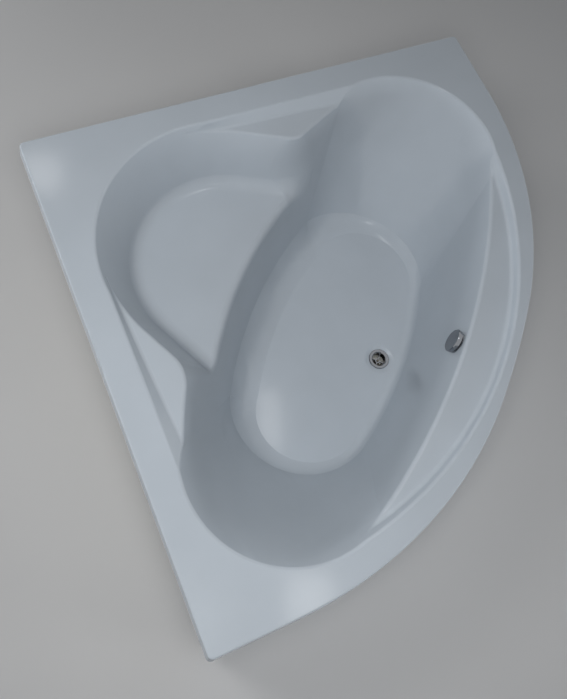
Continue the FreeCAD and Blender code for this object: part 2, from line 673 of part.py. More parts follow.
def recess_space(name, grow, cove):
    """Shallow space over the ledge and the two shelves, 28 mm under the rim."""
    drop = "-(dim.shelf_drop + %s)" % grow
    apex = "(dim.front_bulge - dim.rim_front + %s)" % grow
    radius = "(dim.ledge_edge_radius + %s)" % grow
    foot_radius = "(dim.ledge_foot_radius + %s)" % grow
    ledge = loft(name + "_ledge",
                 crescent(name + "_ledge_top", "0", apex, radius, "dim.ledge_half"),
                 crescent(name + "_ledge_foot", drop, "(%s - dim.shelf_draft)" % apex, foot_radius,
                          "dim.ledge_half"))
    depth = size(drop)
    spaces = [ledge]
    well_end = "(%s + dim.shelf_end)" % WELL_BACK
    start = "(%s + dim.shelf_start)" % SEAT_BACK
    for side, sign in (("right", ""), ("left", "-")):
        outlines = []
        for place, height, near, far in (("top", "0", "0", "0"),
                                         ("foot", drop, "dim.shelf_draft", "dim.shelf_spread")):
            sketch = loose_sketch("%s_%s_shelf_%s" % (name, side, place), height)
            line = "(%s - (%s - %s) * sqrt(2))" % (RIM_LINE, near, grow)
            far_line = "(%s - (%s - %s) * sqrt(2))" % (RIM_LINE, far, grow)
            polygon(sketch, [(start, "%s(%s + %s)" % (sign, start, line)),
                             (well_end, "%s(%s + %s)" % (sign, well_end, far_line)),
                             (well_end, "%s(%s + %s - dim.shelf_depth)" % (sign, start, line)),
                             (start, "%s(%s + %s - dim.shelf_depth)" % (sign, start, line))])
            outlines.append(sketch)
        spaces.append(loft("%s_%s_shelf" % (name, side), *outlines))
    if not cove:
        return spaces
    coved = []
    for space in spaces:
        doc.recompute()
        flat = [edge for edge in space.Shape.Edges if level(edge, depth)]
        outer = max(flat, key=lambda edge: abs(edge.CenterOfMass.y) - edge.CenterOfMass.x
                    if space is not ledge else edge.Length)
        coved.append(rounded(space.Name + "_cove", space,
                             lambda shape, edge, wanted=outer: edge.isSame(wanted),
                             lambda point: size("dim.cove")))
    return coved


def bath_shell():
    """Acrylic moulding: even wall, flat rim with turned-down edge, seat, shelves, ledge and well."""
    inner = fuse("inner_space", basin_space("inner", "0"), *recess_space("inner", "0", True))
    drop = -size("dim.shelf_drop")
    soft_edge = size("dim.shelf_edge_round")
    inner = rounded("inner_edges", inner,
                    lambda shape, edge: level(edge, drop) and face_angle(shape, edge) > 3,
                    lambda point: soft_edge)
    block = doc.addObject("Part::Box", "block")
    for name, length in (("Length", "2 * dim.side"), ("Width", "2 * dim.side"), ("Height", "dim.rim_height")):
        block.setExpression(name, length)
    block.setExpression("Placement.Base.x", "-dim.side")
    block.setExpression("Placement.Base.y", "-dim.side")
    block.setExpression("Placement.Base.z", "-dim.rim_height")
    hollowed = cut("hollowed", block, inner)
    reach = size("dim.side * 0.8")
    edge_round = size("dim.rim_edge_round")
    hollowed = rounded("rim_edge", hollowed,
                       lambda shape, edge: level(edge, 0) and edge.BoundBox.DiagonalLength < 2 * reach,
                       lambda point: edge_round)

    outer = fuse("outer_space", basin_space("outer", "dim.shell"), *recess_space("outer", "dim.shell", False))
    rim = loft("rim_solid", rim_outline("rim_top", "0", "dim.skirt_flare"),
               rim_outline("rim_foot", "-dim.skirt", "0"))
    corner = size("dim.corner_round")
    rim = rounded("rim_corners", rim,
                  lambda shape, edge: not level(edge, 0) and not level(edge, -size("dim.skirt"))
                  and face_angle(shape, edge) > 3,
                  lambda point: corner)
    top_round = size("dim.rim_round")
    rim = rounded("rim_nosing", rim, lambda shape, edge: level(edge, 0), lambda point: top_round)
    under_inset = "(dim.skirt_flare * (1 - dim.shell / dim.skirt) + dim.shell)"
    below = "(dim.shell - dim.skirt_flare * 2 / dim.skirt)"
    under = loft("rim_hollow", rim_outline("hollow_top", "-dim.shell", under_inset),
                 rim_outline("hollow_foot", "-dim.skirt - 2", below))
    under = rounded("hollow_corners", under,
                    lambda shape, edge: edge.BoundBox.ZLength > 5 and face_angle(shape, edge) > 3,
                    lambda point: corner - size("dim.shell"))
    boss = cylinder("drain_boss", "dim.boss_radius", "dim.shell + dim.drain_recess", "dim.drain_place",
                    "0", "-(dim.well_depth + dim.shell + dim.drain_recess)")
    skin = fuse("skin", cut("rim_skin", rim, under), outer, boss)
    wall = doc.addObject("Part::MultiCommon", "wall")
    wall.Shapes = [skin, hollowed]

    drain = cylinder("drain_hole", "dim.drain_bore", "4 * dim.shell", "dim.drain_place", "0",
                     "-(dim.well_depth + 2 * dim.shell)")
    dish = doc.addObject("Part::Cone", "drain_dish")
    dish.setExpression("Radius1", "dim.flange_radius + 1")
    dish.setExpression("Radius2", "dim.drain_recess_radius")
    dish.setExpression("Height", "dim.drain_recess")
    dish.setExpression("Placement.Base.x", "dim.drain_place")
    dish.setExpression("Placement.Base.z", "-(dim.well_depth + dim.drain_recess)")
    square_out = WALL_FRAME.multVec(Vector(0, 0, 8 * size("dim.shell")))
    middle = Vector(size(OVERFLOW_X), 0, -size("dim.overflow_drop"))
    overflow = aimed("overflow_hole", "dim.overflow_bore", middle - square_out * 0.5, square_out)
    shell = cut("bath_shell", wall, fuse("bores", drain, dish, overflow))
    shell.Label = "bath_shell"
    stand(shell, "0", "0", "dim.rim_height")
    return keep(shell)


# The overflow sits on the leaning front wall: its own z axis points square out of that wall
# into the well, its x axis up along the wall.
OVERFLOW_X = "(%s - dim.overflow_drop * dim.front_lean / dim.well_depth)" % WELL_FRONT
OVERFLOW_Z = "(dim.rim_height - dim.overflow_drop)"
LEAN = math.atan(size("dim.front_lean / dim.well_depth"))
WALL_FRAME = Rotation(Vector(math.sin(LEAN), 0, math.cos(LEAN)), Vector(0, 1, 0),
                      Vector(-math.cos(LEAN), 0, math.sin(LEAN)), "ZXY")
WALL_THICK = ("((dim.shell + dim.overflow_drop * dim.front_lean / dim.well_depth * dim.shell"
              " / (dim.well_depth + dim.shell)) * cos(atan(dim.front_lean / dim.well_depth)) + dim.gasket_play)")


# ---------------------------------------------------------------- boards, battens, blocks

def boards():
    """Plywood under the well's floor, open round the waste, and under the seat."""
    inset = "(-dim.board_inset)"
    outline = oval("baseboard_outline", "0", "(%s - dim.front_lean)" % WELL_FRONT,
                   "dim.floor_front_radius", "(%s + dim.rear_lean)" % WELL_BACK,
                   "dim.floor_rear_radius", end_radius="dim.floor_end_radius", grow=inset)
    plain = extrusion("baseboard_plain", outline)
    holes = [cylinder("waste_notch", "dim.waste_clearance", "dim.board", "dim.drain_place")]
    for number, (x, y) in enumerate(BOARD_SCREWS):
        holes.append(cylinder("board_hole_%d" % number, "dim.screw_bore", "dim.board", x, y))
    baseboard = cut("well_baseboard", plain, fuse("board_holes", *holes))
    baseboard.Label = "well_baseboard"
    keep(stand(baseboard, "0", "0", BOARD_UNDER))

    mouth = "(%s + dim.rear_lean * dim.seat_drop / dim.well_depth - dim.seat_board_front)" % WELL_BACK
    outline = loose_sketch("seat_board_outline", "0")
    horseshoe(outline, "(%s + dim.seat_slope)" % SEAT_BACK, "(%s - dim.seat_slope)" % SEAT_RADIUS, mouth, inset)
    keep(stand(extrusion("seat_board", outline), "0", "0", SEAT_BOARD_UNDER))


def extrusion(label, outline):
    item = doc.addObject("Part::Extrusion", label)
    item.Label = label
    item.Base = outline
    item.DirMode = "Normal"
    item.Solid = True
    item.setExpression("LengthFwd", "dim.board")
    return item


def battens():
    """Two timber battens under the rim along the walls; the left one butts on the back one."""
    inner = "(dim.side / 2 - dim.batten_gap - dim.batten_width)"
    edge = "(dim.side / 2 - dim.batten_gap)"
    end = "(dim.side / 2 - dim.batten_end)"
    hook = "(dim.side / 2 - dim.hook_back + dim.hook_riser)"
    bore = "dim.plate_screw_bore"
    step = "dim.plate_screw_place"

    def on_walls(x, y):
        return "(%s + %s) * sqrt(0.5)" % (x, y), "(%s - %s) * sqrt(0.5)" % (y, x), bore

    back = board("back_batten", rectangle("-" + edge, inner, end, edge), "dim.batten_thick")
    drilled(back, "XY_Plane", [
        on_walls("(dim.main_rail_place - %s)" % step, WING_POST),
        on_walls("(-%s)" % BATTEN_LINE, step), ("dim.hook_place", hook, bore)])
    left = board("left_batten", rectangle("-" + edge, "-" + end, "-" + inner, inner), "dim.batten_thick")
    drilled(left, "XY_Plane", [
        on_walls("(dim.main_rail_place - %s)" % step, "(-%s)" % WING_POST),
        ("-" + hook, "-dim.hook_place", bore)])
    for batten in (back, left):
        batten.setExpression("Placement.Base.z", BATTEN_UNDER)
        keep(batten)
    offset = "(dim.front_post_place - dim.block_place - dim.plate_screw_place)"
    for side, sign in SIDES:
        block = board(side + "_ledge_block",
                      rectangle("-dim.block_wide / 2", "-dim.block_long / 2",
                                "dim.block_wide / 2", "dim.block_long / 2"), "dim.board")
        drilled(block, "XY_Plane", [(offset, "0", bore)])
        keep(stand(block, "dim.block_place", sign + "dim.spine_offset", BLOCK_UNDER))


# ---------------------------------------------------------------- steel frame

SIDES = (("left", "-"), ("right", ""))
BOARD_SCREWS = [(place, sign + "dim.screw_place")
                for place in ("dim.main_rail_place", "dim.front_rail_place") for _, sign in SIDES]
FOOT_SPOTS = [
    ("corner", "-" + BATTEN_LINE, "0"),
    ("left_wing", "dim.main_rail_place", "-" + WING_POST),
    ("right_wing", "dim.main_rail_place", WING_POST),
    ("left_front", "dim.front_post_place", "-dim.spine_offset"),
    ("right_front", "dim.front_post_place", "dim.spine_offset"),
]


PLATE_SCREWS = {label: ("0", "dim.plate_screw_place") if label == "corner" else ("-dim.plate_screw_place", "0")
                for label, _, _ in FOOT_SPOTS}


def post(label, x, y, top, screw_place):
    """Upright tube with a drilled top plate and a thick bottom plate with a threaded bore."""
    body = new_body(label)
    height = "(%s - %s)" % (top, SPINE_UNDER)
    outer, inner = "(dim.tube / 2)", "(dim.tube / 2 - dim.tube_wall)"
    sketch = body_sketch(body, "XY_Plane")
    polygon(sketch, square(outer))
    circle(sketch, "0", "0", "dim.stud_bore")
    pad(body, sketch, "dim.nut_plate")
    sketch = body_sketch(body, "XY_Plane", "dim.nut_plate")
    polygon(sketch, square(outer))
    polygon(sketch, square(inner))
    pad(body, sketch, "%s - dim.nut_plate - dim.plate_thick" % height)
    sketch = body_sketch(body, "XY_Plane", "%s - dim.plate_thick" % height)
    polygon(sketch, square("(dim.post_plate / 2)"))
    circle(sketch, *screw_place, "dim.plate_screw_bore")
    pad(body, sketch, "dim.plate_thick")
    return keep(stand(body, x, y, SPINE_UNDER))


def frame():
    half_tube = "dim.tube / 2"
    spine_z = "(%s + %s)" % (SPINE_UNDER, half_tube)
    cross_z = "(%s + %s)" % (RAIL_UNDER, half_tube)
    bolt, bite = "dim.bolt_bore", "dim.screw_bore"
    bolts = [("dim.spine_offset", bolt), ("-dim.spine_offset", bolt)]
    screws = [(sign + "dim.screw_place", bite) for _, sign in SIDES]

    def cross_rail(label, place, half, holes):
        rail = tube(label, "2 * " + half, [("%s + %s" % (half, at), radius) for at, radius in holes])
        keep(stand(rail, place, "-" + half, cross_z, ALONG_Y))

    cross_rail("main_cross_rail", "dim.main_rail_place", "(%s - %s)" % (WING_POST, half_tube), bolts + screws)
    cross_rail("front_cross_rail", "dim.front_rail_place", "dim.short_rail_half", bolts + screws)
    cross_rail("seat_cross_rail", "dim.seat_rail_place", "dim.seat_rail_half", bolts + [("0", bolt)])
    length = "(dim.front_post_place - %s - dim.spine_back)" % half_tube
    rails = ["dim.front_rail_place", "dim.main_rail_place", "dim.seat_rail_place"]
    for side, sign in SIDES:
        rail = tube(side + "_spine_rail", length, [(place + " - dim.spine_back", bolt) for place in rails])
        keep(stand(rail, "dim.spine_back", sign + "dim.spine_offset", spine_z, ALONG_X))
    start = "(%s - %s)" % (half_tube, BATTEN_LINE)
    rail = tube("corner_rail", "(dim.seat_rail_place + %s - %s)" % (half_tube, start),
                [("dim.seat_rail_place - %s" % start, bolt)])
    keep(stand(rail, start, "0", spine_z, ALONG_X))

    for label, x, y in FOOT_SPOTS:
        top = BLOCK_UNDER if "front" in label else BATTEN_UNDER
        post(label + "_post", x, y, top, PLATE_SCREWS[label])
    for side, sign in SIDES:
        leg = tube(side + "_seat_post", "(%s - %s)" % (SEAT_BOARD_UNDER, BOARD_UNDER))
        keep(stand(leg, "dim.seat_rail_place", sign + "dim.seat_post_offset", BOARD_UNDER))


def frame_fasteners():
    """Bolts and nuts at the rail crossings, screws into boards and battens, locknuts."""
    spine = size("dim.spine_offset")
    crossings = [(size(place), across)
                 for place in ("dim.front_rail_place", "dim.main_rail_place", "dim.seat_rail_place")
                 for across in (spine, -spine)]
    crossings.append((size("dim.seat_rail_place"), 0))
    nut_bottom = size(RAIL_UNDER + " + dim.tube_wall")
    bolt = new_body("bolt_master")
    sketch = body_sketch(bolt, "XY_Plane", "-dim.bolt_head_high")
    polygon(sketch, hexagon("dim.bolt_head"))
    pad(bolt, sketch, "dim.bolt_head_high")
    sketch = body_sketch(bolt, "XY_Plane")
    circle(sketch, "0", "0", "dim.bolt_radius")
    pad(bolt, sketch, "dim.tube + dim.tube_wall + dim.nut_high + 2")
    keep(copies("frame_bolts", bolt, [spot(x, y, size(SPINE_UNDER)) for x, y in crossings]))
    nut = hex_ring("nut_master", "dim.bolt_head", "dim.bolt_bore", "dim.nut_high")
    half_nut = size("dim.nut_high / 2")
    keep(copies("frame_nuts", nut, [spot(x, y, nut_bottom + half_nut) for x, y in crossings]))

    long_screw = screw("board_screw_master", "dim.screw_radius", "dim.screw_head",
                       "dim.screw_head_high", "(dim.tube + dim.screw_bite)")
    keep(copies("board_screws", long_screw,
                [spot(size(x), size(y), size(RAIL_UNDER)) for x, y in BOARD_SCREWS]))

    short_screw = screw("plate_screw_master", "dim.plate_screw", "dim.plate_screw_head",
                        "dim.plate_screw_head_high", "dim.plate_screw_long")
    places = []
    for label, x, y in FOOT_SPOTS:
        under = size((BLOCK_UNDER if "front" in label else BATTEN_UNDER) + " - dim.plate_thick")
        dx, dy = PLATE_SCREWS[label]
        places.append(spot(size(x) + size(dx), size(y) + size(dy), under))
    hook = size("dim.side / 2 - dim.hook_back + dim.hook_riser")
    under = size(BATTEN_UNDER + " - dim.hook_thick")
    along = size("dim.hook_place")
    for x, y in ((along, hook), (-hook, -along)):
        places.append(FreeCAD.Placement(Vector(x, y, under), UPRIGHT))
    keep(copies("plate_screws", short_screw, places))

    locknut = hex_ring("locknut_master", "dim.locknut_radius", "dim.stud_bore", "dim.locknut")
    middle = size(SPINE_UNDER + " - dim.locknut / 2")
    keep(copies("foot_locknuts", locknut, [spot(size(x), size(y), middle) for _, x, y in FOOT_SPOTS]))


def feet():
    """Levelling feet: a threaded stud with a broad pad moulded round its lower end."""
    top = "(%s + dim.nut_plate + dim.stud_reach)" % SPINE_UNDER
    for label, x, y in FOOT_SPOTS:
        foot = turned(label + "_foot", [
            ("0", "0"), ("dim.pad_radius", "0"), ("dim.pad_radius", "dim.pad_base"),
            ("dim.pad_collar", "dim.pad_height"), ("dim.stud_radius", "dim.pad_height"),
            ("dim.stud_radius", top), ("0", top)])
        keep(stand(foot, x, y, "0"))


# ---------------------------------------------------------------- waste

def waste():
    seat = "(%s - dim.drain_recess)" % FLOOR_TOP
    place = "dim.drain_place"
    keep(stand(ring("flange_gasket", "dim.gasket_inner", "dim.flange_radius - 1", "0", "dim.flange_gasket"),
               place, "0", seat))
    outer = "(dim.throat_radius + dim.throat_wall)"
    flange = turned("waste_flange", [
        ("dim.throat_radius", "-dim.throat_length"), (outer, "-dim.throat_length"), (outer, "0"),
        ("dim.flange_radius", "0"), ("dim.flange_radius", "dim.flange_edge"),
        ("dim.flange_radius - 2", "dim.flange_thick"), (outer, "dim.flange_thick"),
        ("dim.throat_radius", "dim.flange_edge")])
    spider(flange, "dim.guide_rise - dim.throat_length", "dim.guide_high", "(dim.throat_radius + 1)")
    drilled(flange, "XY_Plane", [("0", "0", "dim.guide_bore")])
    keep(stand(flange, place, "0", "(%s + dim.flange_gasket)" % seat))

    keep(stand(ring("body_gasket", "dim.gasket_inner", "dim.waste_flange_radius - 2", "-dim.body_gasket", "0"),
               place, "0", BOSS_UNDER))
    top = "(%s - dim.body_gasket)" % BOSS_UNDER
    cup, thick, deep = "dim.cup_radius", "-dim.waste_flange_thick", "-dim.cup_depth"
    foot = "(-dim.cup_depth - dim.spigot_length)"
    body = turned("waste_body", [
        ("0", "0"), ("dim.waste_flange_radius", "0"), ("dim.waste_flange_radius", thick),
        (cup, thick), (cup, deep), ("dim.spigot_radius", deep), ("dim.spigot_radius", foot), ("0", foot)])
    sketch = body_sketch(body, "YZ_Plane")
    port_drop = "(dim.port_height - %s)" % top
    circle(sketch, "0", port_drop, "dim.hose_radius")
    pad(body, sketch, "dim.cup_radius + dim.port_length")
    sketch = body_sketch(body, "YZ_Plane", "dim.stop_place")
    stop_bottom = "(dim.stop_bottom - %s)" % top
    polygon(sketch, rectangle("dim.stop_start", stop_bottom, "dim.cable_side + 7",
                              stop_bottom + " + dim.stop_high"))
    pad(body, sketch, "dim.stop_thick")
    floor = "(dim.cup_floor - dim.cup_depth)"
    hollowed_out(body, [("0", "0"), ("dim.cup_bore", "0"), ("dim.cup_bore", floor),
                        ("dim.spigot_bore", floor), ("dim.spigot_bore", foot), ("0", foot)])
    cable_drop = "(dim.lever_height + dim.pulley_radius - %s)" % top
    drilled(body, "YZ_Plane", [("0", port_drop, "dim.hose_radius - dim.hose_wall - 1"),
                               ("dim.cable_side", cable_drop, "dim.cable_bore")], way=1)
    drilled(body, "XZ_Plane", [("dim.lever_arm", "dim.lever_height - %s" % top, "dim.shaft_bore")], way=-1)
    keep(stand(body, place, "0", top))

    pin = turned("lifter_pin", [
        ("0", "0"), ("dim.pin_radius", "0"), ("dim.pin_radius", "dim.pin_length - 1"),
        ("dim.pin_radius - 1", "dim.pin_length"), ("0", "dim.pin_length")])
    keep(stand(pin, place, "0", "(dim.lever_height + dim.nose_radius + dim.pin_gap)"))
    lifter_lever()


def lifter_lever():
    """Arm under the pin, shaft through the waste body's wall and grooved pulley outside it."""
    body = new_body("lifter_lever")
    for x, radius in (("-dim.lever_arm", "dim.nose_radius"), ("0", "dim.hub_radius")):
        sketch = body_sketch(body, "XZ_Plane")
        circle(sketch, x, "0", radius)
        pad(body, sketch, "dim.arm_thick", both=True)
    sketch = body_sketch(body, "XZ_Plane")
    polygon(sketch, rectangle("-dim.lever_arm", "-dim.arm_thick / 2", "0", "dim.arm_thick / 2"))
    pad(body, sketch, "dim.arm_thick", both=True)
    outer = "(dim.cable_side + dim.pulley_width / 2)"
    sketch = body_sketch(body, "XZ_Plane", "dim.shaft_tail")
    circle(sketch, "0", "0", "dim.shaft_radius")
    pad(body, sketch, "dim.shaft_tail + " + outer, back=True)
    third = "(dim.pulley_width / 3)"
    rims = (("0", third, "dim.pulley_radius"), (third, third, "dim.pulley_radius - dim.pulley_groove"),
            ("2 * " + third, third, "dim.pulley_radius"))
    for start, width, radius in rims:
        sketch = body_sketch(body, "XZ_Plane", "dim.pulley_width - %s - %s" % (outer, start))
        circle(sketch, "0", "0", radius)
        pad(body, sketch, width, back=True)
    keep(stand(body, "dim.drain_place + dim.lever_arm", "0", "dim.lever_height"))


# ---------------------------------------------------------------- overflow

def overflow():
    def on_wall(item):
        return keep(stand(item, OVERFLOW_X, "0", OVERFLOW_Z, WALL_FRAME))

    back = "(-%s)" % WALL_THICK
    start = "(-%s - dim.overflow_gasket)" % WALL_THICK
    on_wall(ring("overflow_gasket", "dim.gasket_inner", "dim.overflow_flange", start, back))

    gap, front = "dim.rosette_gap", "(dim.rosette_gap + dim.rosette_thick)"
    edge = "(%s - dim.flange_edge)" % front
    rosette = turned("overflow_rosette", [
        ("dim.sleeve_bore", "-dim.sleeve_length"), ("dim.sleeve_radius", "-dim.sleeve_length"),
        ("dim.sleeve_radius", gap), ("dim.rosette_radius", gap), ("dim.rosette_radius", edge),
        ("dim.rosette_radius - dim.flange_edge", front), ("dim.rosette_hole", front),
        ("dim.rosette_hole", gap), ("dim.sleeve_bore", "-dim.flange_edge")])
    spider(rosette, "(-dim.guide_rise - dim.guide_high)", "dim.guide_high", "(dim.sleeve_bore + 1)")
    drilled(rosette, "XY_Plane", [("0", "0", "dim.spindle_bore")])
    on_wall(rosette)

    spindle_end = "(dim.knob_gap + dim.knob_bite)"
    low, high = "(-dim.hose_drop - dim.drum_width / 2)", "(-dim.hose_drop + dim.drum_width / 2)"
    on_wall(turned("overflow_spindle", [
        ("0", "-dim.spindle_tail"), ("dim.spindle_radius", "-dim.spindle_tail"),
        ("dim.spindle_radius", low + " - 1"), ("dim.drum_flange", low + " - 1"), ("dim.drum_flange", low),
        ("dim.drum_radius", low), ("dim.drum_radius", high), ("dim.drum_flange", high),
        ("dim.drum_flange", high + " + 1"), ("dim.spindle_radius", high + " + 1"),
        ("dim.spindle_radius", spindle_end), ("0", spindle_end)]))
    face = "(dim.knob_gap + dim.knob_thick)"
    on_wall(turned("overflow_knob", [
        ("0", spindle_end), ("dim.spindle_bore", spindle_end), ("dim.spindle_bore", "dim.knob_gap"),
        ("dim.knob_radius - 1", "dim.knob_gap"), ("dim.knob_radius", "dim.knob_gap + 1"),
        ("dim.knob_radius", face + " - dim.knob_round"), ("dim.knob_radius - dim.knob_round", face),
        ("0", face)]))

    lip = start + " - dim.overflow_flange_thick"
    end = start + " - dim.chamber_depth"
    floor = end + " + dim.chamber_wall"
    body = turned("overflow_housing", [
        ("0", start), ("dim.overflow_flange", start), ("dim.overflow_flange", lip),
        ("dim.chamber_radius", lip), ("dim.chamber_radius", end), ("0", end)])
    sketch = body_sketch(body, "YZ_Plane")
    circle(sketch, "0", "-dim.hose_drop", "dim.hose_radius")
    pad(body, sketch, "dim.chamber_radius + dim.port_length", back=True)
    inner = "(dim.chamber_radius - dim.chamber_wall)"
    hollowed_out(body, [
        ("0", start), ("dim.cup_bore", start), ("dim.cup_bore", lip), (inner, lip), (inner, floor),
        ("dim.spindle_bore", floor), ("dim.spindle_bore", floor + " - 2"), ("0", floor + " - 2")])
    drilled(body, "YZ_Plane", [("0", "-dim.hose_drop", "dim.hose_radius - dim.hose_wall")], way=-1)
    turn = math.radians(size("dim.cable_exit"))
    ahead = Vector(-math.cos(turn), math.sin(turn), 0)
    run = math.sqrt(size("dim.chamber_radius - 2") ** 2 - size("dim.drum_radius") ** 2)
    exit_point = Vector(math.sin(turn), math.cos(turn), 0) * size("dim.drum_radius") + ahead * run
    exit_point.z = -size("dim.hose_drop")
    tool = aimed("cable_hole", "dim.cable_bore", exit_point - ahead * 6, ahead * 16)
    housing = cut("overflow_body", body, tool)
    housing.Label = "overflow_body"
    on_wall(housing)
    overflow_lines(exit_point, ahead)


def overflow_lines(exit_point, ahead):
    """Overflow hose and pull cable: along the leaning wall, then round to the waste."""
    wall = FreeCAD.Placement(Vector(size(OVERFLOW_X), 0, size(OVERFLOW_Z)), WALL_FRAME)
    up = WALL_FRAME.multVec(Vector(1, 0, 0))
    upper = wall.multVec(Vector(-size("dim.chamber_radius + dim.port_length"), 0, -size("dim.hose_drop")))
    port = Vector(size("dim.drain_place + dim.cup_radius + dim.port_length"), 0, size("dim.port_height"))
    corner = upper - up * ((upper.z - port.z) / up.z)
    hose = swept("overflow_hose", route([port, corner, upper], [size("dim.hose_bend")]),
                 size("dim.hose_radius"), size("dim.hose_radius - dim.hose_wall"))
    hose.Placement = spot(0, 0, 0)
    keep(hose)
    nut = hex_ring("hose_nut_master", "dim.hose_nut_radius", "dim.hose_radius + dim.nut_play", "dim.hose_nut")
    keep(copies("hose_nuts", nut, [spot(port.x, port.y, port.z, ALONG_X),
                                   spot(upper.x, upper.y, upper.z, WALL_FRAME.multiply(ALONG_X))]))

    side = size("dim.cable_side")
    start = wall.multVec(exit_point)
    knee = wall.multVec(exit_point + ahead * ((side - exit_point.y) / ahead.y))
    stop = Vector(size("dim.drain_place + dim.stop_place"), side, size("dim.lever_height + dim.pulley_radius"))
    heel = knee - up * ((knee.z - stop.z) / up.z)
    cable = swept("pull_cable", route([start, knee, heel, stop],
                                      [size("dim.cable_bend"), size("dim.cable_low_bend")]),
                  size("dim.cable_radius"))
    cable.Placement = spot(0, 0, 0)
    keep(cable)


# ---------------------------------------------------------------- trap

def toward_wall(distance):
    """Place that lies at a distance from the drain, square to the left wall."""
    return "(dim.drain_place - (%s) * sqrt(0.5))" % distance, "(-(%s) * sqrt(0.5))" % distance


def trap():
    """Bottle trap under the drain; its outlet runs square to the left wall, clear of the feet."""
    place = "dim.drain_place"
    joint = "(%s - dim.body_gasket - dim.cup_depth - dim.spigot_length)" % BOSS_UNDER
    pipe, bore, lid = "dim.pipe_radius", "dim.spigot_bore", "(dim.trap_top + dim.trap_lid)"
    keep(stand(turned("trap_dip_tube", [
        (bore, "dim.dip_bottom"), (pipe, "dim.dip_bottom"), (pipe, "dim.trap_top"),
        ("dim.trap_radius", "dim.trap_top"), ("dim.trap_radius", lid), (pipe, lid),
        (pipe, joint), (bore, joint)]), place, "0", "0"))

    cup = turned("trap_cup", rectangle("0", "dim.trap_bottom", "dim.trap_radius", "dim.trap_top"))
    sketch = body_sketch(cup, "YZ_Plane")
    circle(sketch, "0", "dim.pipe_height", pipe)
    pad(cup, sketch, "dim.trap_radius + dim.trap_port", back=True)
    inner = "(dim.trap_radius - dim.trap_wall)"
    floor = "(dim.trap_bottom + dim.trap_wall)"
    hole = "(dim.plug_radius + dim.nut_play)"
    hollowed_out(cup, [("0", "dim.trap_bottom"), (hole, "dim.trap_bottom"), (hole, floor),
                       (inner, floor), (inner, "dim.trap_top"), ("0", "dim.trap_top")])
    drilled(cup, "YZ_Plane", [("0", "dim.pipe_height", bore)], way=-1)
    keep(stand(cup, place, "0", "0", OUTLET_TURN))

    base = "(dim.trap_bottom - dim.plug_high)"
    keep(stand(turned("trap_plug", [
        ("0", base), ("dim.plug_head", base), ("dim.plug_head", "dim.trap_bottom"),
        ("dim.plug_radius", "dim.trap_bottom"), ("dim.plug_radius", floor), ("0", floor)]),
        place, "0", "0"))

    socket = "(dim.pipe_radius + dim.nut_play)"
    keep(stand(hex_ring("trap_nut", "dim.union_radius", socket, "dim.union"), place, "0", joint))
    reach = "dim.trap_radius + dim.trap_port"
    across = OUTLET_TURN.multiply(ALONG_X)
    nut = hex_ring("outlet_nut", "dim.union_radius", socket, "dim.union")
    keep(stand(nut, *toward_wall(reach), "dim.pipe_height", across))
    body = new_body("outlet_pipe")
    sketch = body_sketch(body, "XY_Plane")
    circle(sketch, "0", "0", pipe)
    circle(sketch, "0", "0", bore)
    pad(body, sketch, "dim.outlet_length")
    sketch = body_sketch(body, "XY_Plane", "dim.outlet_length - dim.union / 2 - dim.pipe_collar")
    circle(sketch, "0", "0", pipe + " + dim.pipe_collar")
    circle(sketch, "0", "0", bore)
    pad(body, sketch, "dim.pipe_collar")
    keep(stand(body, *toward_wall(reach + " + dim.outlet_length"), "dim.pipe_height", across))


# ---------------------------------------------------------------- front panel

